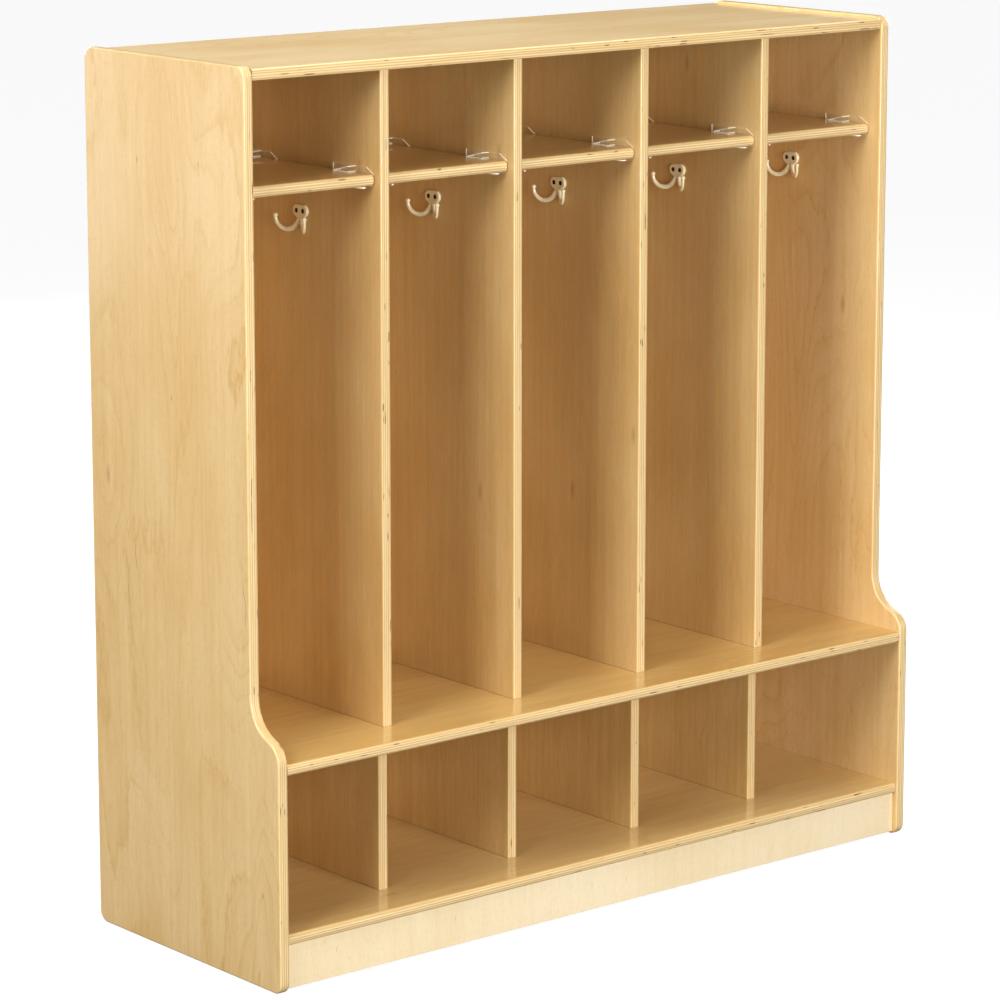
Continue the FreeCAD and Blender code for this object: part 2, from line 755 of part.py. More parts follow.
def prong(name, side):
    """One prong: a tapered bar that leaves the chin of the plate, swings down and out in
    a vertical plane and turns up to a ball. side is 1 or -1."""
    spread_angle = math.radians(size("prong_spread"))
    plan = FreeCAD.Vector(math.cos(spread_angle), side * math.sin(spread_angle), 0)
    across = Z_AXIS.cross(plan)
    bend = size("prong_bend_radius")
    reach = size("prong_reach")
    root_angle = math.radians(size("prong_root_angle"))
    ball_level = -size("prong_ball_drop")
    centre = plan * (reach - bend) + Z_AXIS * (ball_level - size("prong_end_rise"))

    def on_bend(angle):
        return centre + plan * (bend * math.cos(angle)) + Z_AXIS * (bend * math.sin(angle))

    heading = plan * -math.sin(root_angle) + Z_AXIS * math.cos(root_angle)
    root = on_bend(root_angle) - heading * size("prong_root_lead")
    tip = plan * reach + Z_AXIS * ball_level
    middle = on_bend((root_angle + math.tau) / 2)
    spine = Part.Wire(
        [
            Part.LineSegment(root, on_bend(root_angle)).toShape(),
            Part.Arc(on_bend(root_angle), middle, on_bend(math.tau)).toShape(),
            Part.LineSegment(on_bend(math.tau), tip).toShape(),
        ]
    )

    def section(end, point, direction):
        half_depth = size(f"prong_{end}_depth") / 2
        half_width = size(f"prong_{end}_width") / 2
        oval = Part.Wire([Part.Ellipse(FreeCAD.Vector(), half_depth, half_width).toShape()])
        inward = across.cross(direction)
        rotation = FreeCAD.Rotation(inward, across, direction, "ZXY")
        oval.Placement = FreeCAD.Placement(point, rotation)
        return oval

    sweep = Part.BRepOffsetAPI.MakePipeShell(spine)
    sweep.add(section("root", root, heading))
    sweep.add(section("end", tip, Z_AXIS))
    sweep.build()
    sweep.makeSolid()
    bar = doc.addObject("Part::Feature", f"{name}_bar")
    bar.Shape = sweep.shape()
    ball = primitive("Part::Sphere", f"{name}_ball", Radius="Sizes.prong_ball_radius")
    ball.Placement.Base = tip
    return [bar, ball]


hook_screw = countersunk_screw("hook_screw", "hook_screw_length")
hook_hole = screw_hole("hook_screw_hole", "hook_screw_length")
# The hook itself, with its back on the plane x = 0 and its screws' line at z = 0.
casting = [hook_plate("hook")] + prong("front_prong", 1) + prong("rear_prong", -1)
screw_line = [side * size("hook_screw_spacing") / 2 for side in (1, -1)]
hook_openings = [
    linked_copy(
        f"hook_opening_{index}",
        hook_hole,
        FreeCAD.Vector(size("hook_plate"), y, 0),
        turn(X_AXIS),
    )
    for index, y in enumerate(screw_line)
]
# The roots of the prongs are cast flush with the plate's back.
wall_side = primitive(
    "Part::Box",
    "wall_side",
    Length="Sizes.prong_reach",
    Width="2 * Sizes.prong_reach",
    Height="2 * Sizes.prong_reach",
)
place(wall_side, "0 - Sizes.prong_reach", "0 - Sizes.prong_reach", "0 - 1.5 * Sizes.prong_reach")
hook = cut(
    "hook",
    group("Part::MultiFuse", "hook_casting", casting),
    group("Part::Compound", "hook_openings", [*hook_openings, wall_side]),
)

hook_line = REAR - size("hook_set_in")
hook_screw_places = []
for number in range(1, SECTIONS + 1):
    left_wall, right_wall = wall_nodes(number)
    for side, wall, x, outward in (
        ("left", left_wall, section_left(number), X_AXIS),
        ("right", right_wall, section_left(number) + CLEAR_WIDTH, -X_AXIS),
    ):
        foot = FreeCAD.Vector(x, hook_line, size("hook_level"))
        facing = FreeCAD.Rotation(Z_AXIS, 0 if side == "left" else 180)
        node = f"coat_hook_{number}_{side}"
        copy = linked_copy(f"{node}_copy", hook, foot, facing)
        keep(node, group("Part::Compound", node, [copy]))
        for y in screw_line:
            head = foot + outward * size("hook_plate") + Y_AXIS * y
            hook_screw_places.append((head, outward, (wall,)))
drive_screws("hook_screws", hook_screw, hook_hole, hook_screw_places)


# ---------------------------------------------------------------- locking shelf clips
def shelf_clip():
    """A clear clip for a right-hand wall: the wall is the plane x = 0, the shelf's front
    edge is at y = 0 and its underside at z = 0. A web stands in the shelf's end gap, a
    ledge carries the shelf and a sprung tab of two leaves locks down on its top."""
    drop = "Sizes.clip_ledge + Sizes.slide_clearance"
    top = f"{drop} + Sizes.board + Sizes.clip_lip"
    tab_foot = f"{drop} + Sizes.board + Sizes.slide_clearance"
    front = "Sizes.clip_front_gap"
    back = "Sizes.clip_front_gap + Sizes.clip_length"

    web = new_body("clip_web")
    sketch = sketch_on(web, "YZ_Plane")
    outline(
        sketch,
        [
            (front, "0"),
            (back, "0"),
            (back, top),
            (f"{front} + Sizes.clip_nose_run", top),
            (front, f"{drop} + Sizes.board"),
        ],
    )
    pad(web, sketch, "Sizes.clip_web")
    place(web, "0 - Sizes.clip_web", "0", f"0 - ({drop})")

    ledge = new_body("clip_ledge")
    sketch = sketch_on(ledge, "XY_Plane")
    width = "Sizes.clip_ledge_width"
    length = "Sizes.clip_length"
    outline(sketch, [("0", "0"), (width, "0"), (width, length), ("0", length)])
    pad(ledge, sketch, "Sizes.clip_ledge")

    def free_corner(edge):
        extent = edge.BoundBox
        return extent.XMax < 0.01 and extent.YLength < 0.01

    round_edges(ledge, "clip_corner_radius", free_corner)
    place(ledge, f"0 - {width}", front, f"0 - ({drop})")

    tab = new_body("clip_tab")
    sketch = sketch_on(tab, "YZ_Plane")
    leaf = "Sizes.clip_tab_leaf"
    outline(
        sketch,
        [
            ("Sizes.clip_tab_front", tab_foot),
            ("Sizes.clip_tab_back", tab_foot),
            ("Sizes.clip_tab_back", f"{tab_foot} + {leaf}"),
            ("Sizes.clip_tab_front", f"{tab_foot} + Sizes.clip_tab_rise"),
            ("Sizes.clip_tab_front", f"{tab_foot} + Sizes.clip_tab_rise - {leaf}"),
            ("Sizes.clip_tab_back - Sizes.clip_tab_root", f"{tab_foot} + {leaf}"),
            ("Sizes.clip_tab_front", f"{tab_foot} + {leaf}"),
        ],
    )
    pad(tab, sketch, "Sizes.clip_tab_width")
    place(tab, "0 - Sizes.clip_tab_width", "0", f"0 - ({drop})")
    return [web, ledge, tab]


# Each clip is pegged into the wall by two pegs level with the middle of the shelf's edge.
clip_pegs = []
clip_pieces = shelf_clip()
for index in range(2):
    peg = primitive(
        "Part::Cylinder",
        f"clip_peg_{index}",
        Radius="Sizes.clip_peg_diameter / 2",
        Height="Sizes.clip_peg_length + Sizes.clip_web / 2",
    )
    peg.Placement.Rotation = turn(X_AXIS)
    place(
        peg,
        "0 - Sizes.clip_web / 2",
        f"Sizes.clip_front_gap + Sizes.clip_peg_inset + {index} * Sizes.clip_peg_spacing",
        "Sizes.board / 2",
    )
    clip_pegs.append(peg)
right_clip = group("Part::MultiFuse", "right_clip", clip_pieces + clip_pegs)
left_clip = doc.addObject("Part::Mirroring", "left_clip")
left_clip.Source = right_clip
left_clip.Normal = X_AXIS
peg_socket = primitive(
    "Part::Cylinder",
    "clip_peg_socket",
    Radius="Sizes.clip_peg_diameter / 2 + Sizes.socket_clearance",
    Height="Sizes.clip_peg_length + Sizes.socket_clearance + Sizes.overcut",
)

first_peg = size("clip_front_gap") + size("clip_peg_inset")
shelf_depth = BACK_FACE - size("shelf_back_gap") - SHELF_FRONT
clip_reach = size("clip_front_gap") + size("clip_length")
rear_clip_start = shelf_depth - clip_reach - size("clip_back_gap")
for number in range(1, SECTIONS + 1):
    left_wall, right_wall = wall_nodes(number)
    clips = []
    for place_name, start in (("front", 0), ("rear", rear_clip_start)):
        for side, wall, x, inward, master in (
            ("left", left_wall, section_left(number), X_AXIS, left_clip),
            ("right", right_wall, section_left(number) + CLEAR_WIDTH, -X_AXIS, right_clip),
        ):
            base = FreeCAD.Vector(x, SHELF_FRONT + start, SHELF_UNDERSIDE)
            name = f"clip_{number}_{place_name}_{side}"
            clips.append(linked_copy(name, master, base, FreeCAD.Rotation()))
            for index in range(2):
                along = first_peg + index * size("clip_peg_spacing")
                mouth = base + inward * size("overcut")
                mouth += Y_AXIS * along + Z_AXIS * (BOARD / 2)
                hole = linked_copy(f"{name}_socket_{index}", peg_socket, mouth, turn(-inward))
                tools_for[wall].append(hole)
    node = f"shelf_clips_{number}"
    keep(node, group("Part::Compound", node, clips))

# ---------------------------------------------------------------- holes, checks and files
doc.recompute()
for node, tools in tools_for.items():
    if tools:
        blank = sub_parts[node]
        blank.Label = f"{node} blank"
        keep(node, cut(node, blank, group("Part::Compound", f"{node}_holes", tools)))
doc.recompute()

failed = [thing.Name for thing in doc.Objects if {"Invalid", "Error"} & set(thing.State)]
if failed:
    raise RuntimeError(f"objects that did not build: {failed}")
for node, thing in sub_parts.items():
    if thing.Shape.isNull() or not thing.Shape.isValid():
        raise RuntimeError(f"{node} has no valid shape")
for node, tools in tools_for.items():
    if tools and sub_parts[node].Shape.Volume > sub_parts[node].Base.Shape.Volume - 1:
        raise RuntimeError(f"{node} was not cut")

os.makedirs("parts", exist_ok=True)
for node, thing in sub_parts.items():
    thing.Shape.exportStep(f"parts/{node}.step")
print(len(sub_parts), "sub-parts,", sum(len(t.Shape.Solids) for t in sub_parts.values()), "solids")
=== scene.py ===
import math

import bmesh
import bpy
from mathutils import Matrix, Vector


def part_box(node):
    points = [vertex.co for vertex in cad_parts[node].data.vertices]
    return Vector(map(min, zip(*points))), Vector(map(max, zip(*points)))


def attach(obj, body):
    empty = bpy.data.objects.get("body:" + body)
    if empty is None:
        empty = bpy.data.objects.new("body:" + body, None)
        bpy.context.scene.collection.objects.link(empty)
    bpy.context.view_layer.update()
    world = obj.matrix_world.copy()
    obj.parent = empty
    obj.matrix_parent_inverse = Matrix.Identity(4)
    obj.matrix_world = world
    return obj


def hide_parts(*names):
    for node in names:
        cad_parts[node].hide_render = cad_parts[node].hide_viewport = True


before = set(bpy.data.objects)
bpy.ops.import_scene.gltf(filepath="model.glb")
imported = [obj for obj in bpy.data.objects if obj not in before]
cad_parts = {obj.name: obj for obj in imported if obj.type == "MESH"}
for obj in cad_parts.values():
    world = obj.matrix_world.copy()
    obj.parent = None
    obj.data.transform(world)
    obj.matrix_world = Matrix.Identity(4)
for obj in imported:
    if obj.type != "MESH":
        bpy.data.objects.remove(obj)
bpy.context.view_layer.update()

# ---------------------------------------------------------------- camera
# A long lens well off the locker's left front corner and a little above its top. A small
# downward shift keeps the uprights nearly parallel.
camera_data = bpy.data.cameras.new("camera")
camera_data.sensor_width = 36.0
camera_data.lens = 142.93
camera_data.shift_y = -0.1
camera = bpy.data.objects.new("camera", camera_data)
camera.location = (-3.7256, -4.4545, 1.8176)
camera.rotation_euler = (math.radians(90.0 - 10.56), 0.0, math.radians(-39.666))
bpy.context.scene.collection.objects.link(camera)
bpy.context.scene.camera = camera

# ---------------------------------------------------------------- studio
# A wide white floor that runs into a white surround, and seven soft boxes: a large one in
# front with a smaller fill beside it, one at the left and one overhead, and three behind
# and at the right that keep the other sides from going dark.
scene = bpy.context.scene
scene.view_settings.view_transform = "Standard"
SURROUND_GLOW = 0.08
SURROUND_SEEN = 0.95
FLOOR_GLOW = 0.93

surround = bpy.data.worlds.new("surround")
surround.use_nodes = True
sky = surround.node_tree
backdrop = sky.nodes["Background"]
backdrop.inputs["Color"].default_value = (1.0, 1.0, 1.0, 1.0)
seen = sky.nodes.new("ShaderNodeLightPath")
brightness = sky.nodes.new("ShaderNodeMapRange")
brightness.inputs["To Min"].default_value = SURROUND_GLOW
brightness.inputs["To Max"].default_value = SURROUND_SEEN
sky.links.new(seen.outputs["Is Camera Ray"], brightness.inputs["Value"])
sky.links.new(brightness.outputs[0], backdrop.inputs["Strength"])
scene.world = surround


def soft_box(name, place, aim, width, height, power):
    """A rectangular soft light that faces a point."""
    data = bpy.data.lights.new(name, "AREA")
    data.shape = "RECTANGLE"
    data.size = width
    data.size_y = height
    data.energy = power
    light = bpy.data.objects.new(name, data)
    light.location = place
    light.rotation_euler = (Vector(aim) - Vector(place)).to_track_quat("-Z", "Y").to_euler()
    scene.collection.objects.link(light)


soft_box("front_box", (-0.25, -4.6, 1.45), (0.25, 0.0, 0.45), 1.8, 2.0, 168.0)
soft_box("fill_box", (-2.1, -4.7, 1.0), (0.1, 0.0, 1.15), 1.2, 1.2, 46.0)
soft_box("left_box", (-3.9, -0.9, 2.8), (-0.6, 0.0, 0.8), 2.0, 2.0, 146.0)
soft_box("overhead_box", (-0.4, -0.2, 3.6), (0.0, 0.0, 1.2), 2.0, 1.4, 70.0)
soft_box("rear_box", (-4.2, 5.2, 0.8), (-0.6, 0.0, 0.9), 2.2, 1.6, 22.0)
soft_box("back_box", (0.5, 4.8, 2.0), (0.1, 0.2, 0.6), 2.0, 2.0, 210.0)
soft_box("right_box", (4.3, 1.5, 1.9), (0.6, 0.0, 0.6), 1.8, 1.8, 150.0)

FLOOR_REACH = 60.0
floor_mesh = bpy.data.meshes.new("studio_floor")
floor_mesh.from_pydata(
    [(x * FLOOR_REACH, y * FLOOR_REACH, 0.0) for x, y in ((-1, -1), (1, -1), (1, 1), (-1, 1))],
    [],
    [(0, 1, 2, 3)],
)
studio_floor = bpy.data.objects.new("studio_floor", floor_mesh)
scene.collection.objects.link(studio_floor)
floor_paint = bpy.data.materials.new("floor_paint")
floor_paint.use_nodes = True
floor_tree = floor_paint.node_tree
floor_shader = floor_tree.nodes["Principled BSDF"]
floor_shader.inputs["Base Color"].default_value = (0.17, 0.17, 0.165, 1.0)
floor_shader.inputs["Roughness"].default_value = 0.7
floor_shader.inputs["Specular IOR Level"].default_value = 0.1
floor_shader.inputs["Emission Color"].default_value = (1.0, 1.0, 1.0, 1.0)
floor_seen = floor_tree.nodes.new("ShaderNodeLightPath")
floor_glow = floor_tree.nodes.new("ShaderNodeMath")
floor_glow.operation = "MULTIPLY"
floor_glow.inputs[1].default_value = FLOOR_GLOW
floor_tree.links.new(floor_seen.outputs["Is Camera Ray"], floor_glow.inputs[0])
floor_tree.links.new(floor_glow.outputs[0], floor_shader.inputs["Emission Strength"])
floor_mesh.materials.append(floor_paint)


# ---------------------------------------------------------------- side panels
# Two full-height sheets of birch plywood, their S-shaped fronts routed and every arris
# rounded over, then sealed and sprayed with clear lacquer. The plies show on the edges.
def put(tree, kind, inputs=None, **settings):
    """Adds a node. Inputs are by number or name: a socket is linked, a value is set."""
    node = tree.nodes.new(kind)
    for name, value in settings.items():
        setattr(node, name, value)
    for key, value in (inputs or {}).items():
        if isinstance(value, bpy.types.NodeSocket):
            tree.links.new(value, node.inputs[key])
        else:
            node.inputs[key].default_value = value
    return node


def reckon(tree, operation, first, second=0.0, third=0.0):
    """One step of arithmetic."""
    return put(tree, "ShaderNodeMath", {0: first, 1: second, 2: third}, operation=operation).outputs[0]


def between(tree, value, low, high):
    """0 below low, 1 above high, and smooth between them."""
    inputs = {"Value": value, "From Min": low, "From Max": high}
    return put(tree, "ShaderNodeMapRange", inputs, interpolation_type="SMOOTHSTEP").outputs[0]


def stretched(tree, position, along, across, through=1.0):
    """Scales a position, so that a pattern repeats so many times in a metre each way."""
    inputs = {0: position, 1: (along, across, through)}
    return put(tree, "ShaderNodeVectorMath", inputs, operation="MULTIPLY").outputs[0]


def cloud(tree, vector, detail=2.0, roughness=0.5, distortion=0.0, flat=True):
    """Plain noise, flat or solid."""
    inputs = {
        "Vector": vector,
        "Scale": 1.0,
        "Detail": detail,
        "Roughness": roughness,
        "Distortion": distortion,
    }
    dimensions = "2D" if flat else "3D"
    return put(tree, "ShaderNodeTexNoise", inputs, noise_dimensions=dimensions).outputs[0]


def scattered(tree, vector, reach, share):
    """Round marks round random points, on a share of the points: 1 at a mark's middle."""
    inputs = {"Vector": vector, "Scale": 1.0}
    points = put(tree, "ShaderNodeTexVoronoi", inputs, voronoi_dimensions="2D")
    chance = put(tree, "ShaderNodeSeparateColor", {0: points.outputs["Color"]}).outputs[0]
    chosen = reckon(tree, "LESS_THAN", chance, share)
    near = reckon(tree, "SUBTRACT", 1.0, between(tree, points.outputs["Distance"], 0.0, reach))
    return reckon(tree, "MULTIPLY", near, chosen)


def blend(tree, factor, first, second, mode="MIX"):
    """Mixes two colours."""
    inputs = {0: factor, 6: first, 7: second}
    return put(tree, "ShaderNodeMix", inputs, data_type="RGBA", blend_type=mode).outputs[2]


def new_group(name, inputs, outputs, kind_of_tree="ShaderNodeTree"):
    """An empty node group with named sockets. Returns the tree and its two ends."""
    tree = bpy.data.node_groups.new(name, kind_of_tree)
    for label, kind, value in inputs:
        socket = tree.interface.new_socket(label, in_out="INPUT", socket_type=kind)
        if value is not None:
            socket.default_value = value
    for label, kind in outputs:
        tree.interface.new_socket(label, in_out="OUTPUT", socket_type=kind)
    return tree, tree.nodes.new("NodeGroupInput"), tree.nodes.new("NodeGroupOutput")


def make_veneer_group():
    """Rotary-cut birch veneer: faint wandering contour lines, fibres, soft blotches, pin
    knots and bark flecks. Position is in metres, x along the grain and y across it."""
    tree, start, end = new_group(
        "birch_veneer",
        [
            ("Position", "NodeSocketVector", None),
            ("Figure", "NodeSocketFloat", 1.0),
            ("Marks", "NodeSocketFloat", 1.0),
            ("Streaks", "NodeSocketFloat", 1.0),
            ("Pale", "NodeSocketColor", (0.85, 0.635, 0.335, 1.0)),
            ("Deep", "NodeSocketColor", (0.77, 0.525, 0.235, 1.0)),
        ],
        [("Color", "NodeSocketColor"), ("Height", "NodeSocketFloat")],
    )
    position = start.outputs["Position"]
    contour_tone = (0.74, 0.455, 0.155, 1.0)
    pore_tone = (0.42, 0.22, 0.07, 1.0)
    knot_tone = (0.33, 0.16, 0.05, 1.0)
    bark_tone = (0.12, 0.05, 0.018, 1.0)
    growth_rings = 15.0
    rings_round_a_knot = 2.1
    knot_places = stretched(tree, position, 1.7, 4.6)
    knot_share = 0.35

    ragged = cloud(tree, stretched(tree, position, 26.0, 95.0), 2.0, 0.6)
    wide = cloud(tree, stretched(tree, position, 1.25, 5.6), 1.6, 0.45, 0.5)
    eyes = scattered(tree, knot_places, 0.42, knot_share)
    eyes = reckon(tree, "MULTIPLY", eyes, rings_round_a_knot)
    field = reckon(tree, "MULTIPLY_ADD", wide, growth_rings, eyes)
    rings = reckon(tree, "MULTIPLY_ADD", ragged, 0.5, field)
    rise = reckon(tree, "FRACT", rings)
    gap = reckon(tree, "MINIMUM", rise, reckon(tree, "SUBTRACT", 1.0, rise))
    line = reckon(tree, "SUBTRACT", 1.0, between(tree, gap, 0.0, 0.11))
    ramp = reckon(tree, "MULTIPLY", reckon(tree, "POWER", rise, 3.0), 0.45)
    fine = reckon(tree, "PINGPONG", reckon(tree, "MULTIPLY", rings, 2.6), 0.5)
    fine = reckon(tree, "MULTIPLY", between(tree, fine, 0.3, 0.5), 0.22)
    fading = between(tree, cloud(tree, stretched(tree, position, 2.1, 6.3), 2.0), 0.32, 0.68)
    contour = reckon(tree, "MULTIPLY_ADD", line, 0.5, reckon(tree, "ADD", ramp, fine))
    contour = reckon(tree, "MULTIPLY", contour, reckon(tree, "MULTIPLY_ADD", fading, 0.75, 0.25))
    contour = reckon(tree, "MULTIPLY", contour, start.outputs["Figure"])

    fibre = cloud(tree, stretched(tree, position, 26.0, 560.0), 2.0, 0.6)
    streak = cloud(tree, stretched(tree, position, 1.9, 82.0), 3.0, 0.6)
    blotch = cloud(tree, stretched(tree, position, 2.4, 5.2), 3.0, 0.55)
    pore = between(tree, cloud(tree, stretched(tree, position, 95.0, 1250.0), 1.0), 0.63, 0.74)
    fleck = scattered(tree, stretched(tree, position, 6.0, 44.0), 0.045, 0.07)
    wander = reckon(tree, "MULTIPLY", cloud(tree, stretched(tree, position, 9.0, 0.0), 1.0), 0.05)
    bent = put(
        tree,
        "ShaderNodeVectorMath",
        {0: position, 1: put(tree, "ShaderNodeCombineXYZ", {1: wander}).outputs[0]},
        operation="ADD",
    ).outputs[0]
    crack = scattered(tree, stretched(tree, bent, 0.9, 70.0), 0.05, 0.06)
    knot = scattered(tree, knot_places, 0.035, knot_share)

    colour = blend(tree, between(tree, blotch, 0.28, 0.75), start.outputs["Pale"], start.outputs["Deep"])
    colour = blend(tree, reckon(tree, "MULTIPLY", contour, 0.6), colour, contour_tone)
    light = reckon(tree, "MULTIPLY_ADD", fibre, 0.20, reckon(tree, "MULTIPLY_ADD", streak, 0.20, -0.20))
    light = reckon(tree, "MULTIPLY", light, start.outputs["Streaks"])
    warming = (0.75, 1.1, 1.8)
    channels = [reckon(tree, "MULTIPLY_ADD", light, share, 1.0) for share in warming]
    warmth = put(tree, "ShaderNodeCombineColor", dict(enumerate(channels))).outputs[0]
    colour = blend(tree, 1.0, colour, warmth, "MULTIPLY")
    colour = blend(tree, reckon(tree, "MULTIPLY", pore, 0.22), colour, pore_tone)
    colour = blend(tree, reckon(tree, "MULTIPLY", knot, 0.45), colour, knot_tone)
    mark = reckon(tree, "MAXIMUM", between(tree, fleck, 0.1, 0.7), between(tree, crack, 0.1, 0.6))
    mark = reckon(tree, "MULTIPLY", mark, start.outputs["Marks"])
    colour = blend(tree, reckon(tree, "MULTIPLY", mark, 0.72), colour, bark_tone)
    tree.links.new(colour, end.inputs["Color"])
    height = reckon(tree, "MULTIPLY_ADD", pore, -0.5, fibre)
    tree.links.new(reckon(tree, "MULTIPLY_ADD", mark, -1.5, height), end.inputs["Height"])
    return tree


def make_ply_group():
    """The layers on a plywood edge, alternately long grain and end grain. Depth runs from
    0 to 1 through the board, and Facing is the surface's direction in the board's frame."""
    tree, start, end = new_group(
        "ply_edge",
        [
            ("Position", "NodeSocketVector", None),
            ("Facing", "NodeSocketVector", None),
            ("Depth", "NodeSocketFloat", 0.0),
            ("Plies", "NodeSocketFloat", 9.0),
        ],
        [("Color", "NodeSocketColor"), ("Inside", "NodeSocketFloat"), ("Height", "NodeSocketFloat")],
    )
    position = start.outputs["Position"]
    plies = start.outputs["Plies"]
    pale_long, deep_long = (0.85, 0.67, 0.385, 1.0), (0.74, 0.54, 0.255, 1.0)
    pale_end, deep_end = (0.70, 0.485, 0.215, 1.0), (0.56, 0.355, 0.14, 1.0)
    patch_tone = (0.61, 0.405, 0.17, 1.0)
    glue_tone = (0.42, 0.23, 0.085, 1.0)
    void_tone = (0.12, 0.055, 0.02, 1.0)
    unevenness = 0.9

    even = reckon(tree, "MULTIPLY", start.outputs["Depth"], plies)
    along, across, through = put(tree, "ShaderNodeSeparateXYZ", {0: position}).outputs
    lie = {
        0: reckon(tree, "MULTIPLY", reckon(tree, "ADD", along, across), 2.5),
        1: reckon(tree, "MULTIPLY", even, 0.9),
    }
    pressed = cloud(tree, put(tree, "ShaderNodeCombineXYZ", lie).outputs[0], 1.0)
    pressed = reckon(tree, "MULTIPLY_ADD", pressed, unevenness, -unevenness / 2)
    level = reckon(tree, "ADD", even, pressed)
    ply = reckon(tree, "FLOOR", level)
    place = reckon(tree, "FRACT", level)
    crossed = reckon(tree, "ABSOLUTE", reckon(tree, "MODULO", ply, 2.0))
    facing = put(tree, "ShaderNodeSeparateXYZ", {0: start.outputs["Facing"]}).outputs

    def by_ply(face_value, crossed_value):
        """One value in the plies that lie like the face, another in the crossed ones."""
        inputs = {0: crossed, 2: face_value, 3: crossed_value}
        return put(tree, "ShaderNodeMix", inputs).outputs[0]

    own = put(
        tree,
        "ShaderNodeCombineXYZ",
        {
            0: by_ply(along, across),
            1: by_ply(across, along),
            2: reckon(tree, "MULTIPLY_ADD", ply, 0.013, through),
        },
    ).outputs[0]
    along_facing = reckon(tree, "ABSOLUTE", facing[0])
    across_facing = reckon(tree, "ABSOLUTE", facing[1])
    end_on = between(tree, by_ply(along_facing, across_facing), 0.3, 0.85)
    streak = cloud(tree, stretched(tree, own, 16.0, 260.0, 620.0), 3.0, 0.6, flat=False)
    pores = cloud(tree, stretched(tree, own, 900.0, 900.0, 900.0), 2.0, 0.7, flat=False)
    patch = cloud(tree, stretched(tree, own, 12.0, 12.0, 70.0), 2.0, 0.6, flat=False)
    streaky = between(tree, streak, 0.3, 0.72)
    long_grain = blend(tree, streaky, pale_long, deep_long)
    porous = between(tree, pores, 0.3, 0.7)
    end_grain = blend(tree, porous, pale_end, deep_end)
    end_grain = blend(tree, between(tree, patch, 0.35, 0.7), end_grain, patch_tone)
    colour = blend(tree, end_on, long_grain, end_grain)
    edge = reckon(tree, "MINIMUM", place, reckon(tree, "SUBTRACT", 1.0, place))
    glue = reckon(tree, "SUBTRACT", 1.0, between(tree, edge, 0.02, 0.13))
    colour = blend(tree, reckon(tree, "MULTIPLY", glue, 0.35), colour, glue_tone)
    gaps = cloud(tree, stretched(tree, position, 34.0, 34.0, 150.0), 1.0, flat=False)
    void = reckon(tree, "MULTIPLY", between(tree, gaps, 0.68, 0.72), crossed)
    colour = blend(tree, reckon(tree, "MULTIPLY", void, 0.8), colour, void_tone)
    tree.links.new(colour, end.inputs["Color"])
    outer = reckon(tree, "MINIMUM", even, reckon(tree, "SUBTRACT", plies, even))
    tree.links.new(between(tree, outer, 0.45, 0.6), end.inputs["Inside"])
    tree.links.new(reckon(tree, "MULTIPLY_ADD", void, -3.0, streak), end.inputs["Height"])
    return tree


veneer_group = make_veneer_group()
ply_group = make_ply_group()
ALONG_X, ALONG_Y, ALONG_Z = 0, 1, 2
# A thin dark band at a board's glued ends: partly a glue line, partly painted shade in the crease where
# the next board meets it.
JOINT_LINE_AND_SHADE_WIDTH = 0.0009
JOINT_LINE_AND_SHADE_CORE = 0.00036
JOINT_LINE_AND_SHADE_TONE = (0.16, 0.07, 0.025, 1.0)
NEXT_FACE = 3.1
NEXT_BOARD_ALONG = 1.7
NEXT_BOARD_ACROSS = 0.83
GRAIN_RELIEF = 0.0004


def wear(node, material):
    """Gives a CAD piece its material."""
    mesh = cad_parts[node].data
    mesh.materials.clear()
    mesh.materials.append(material)


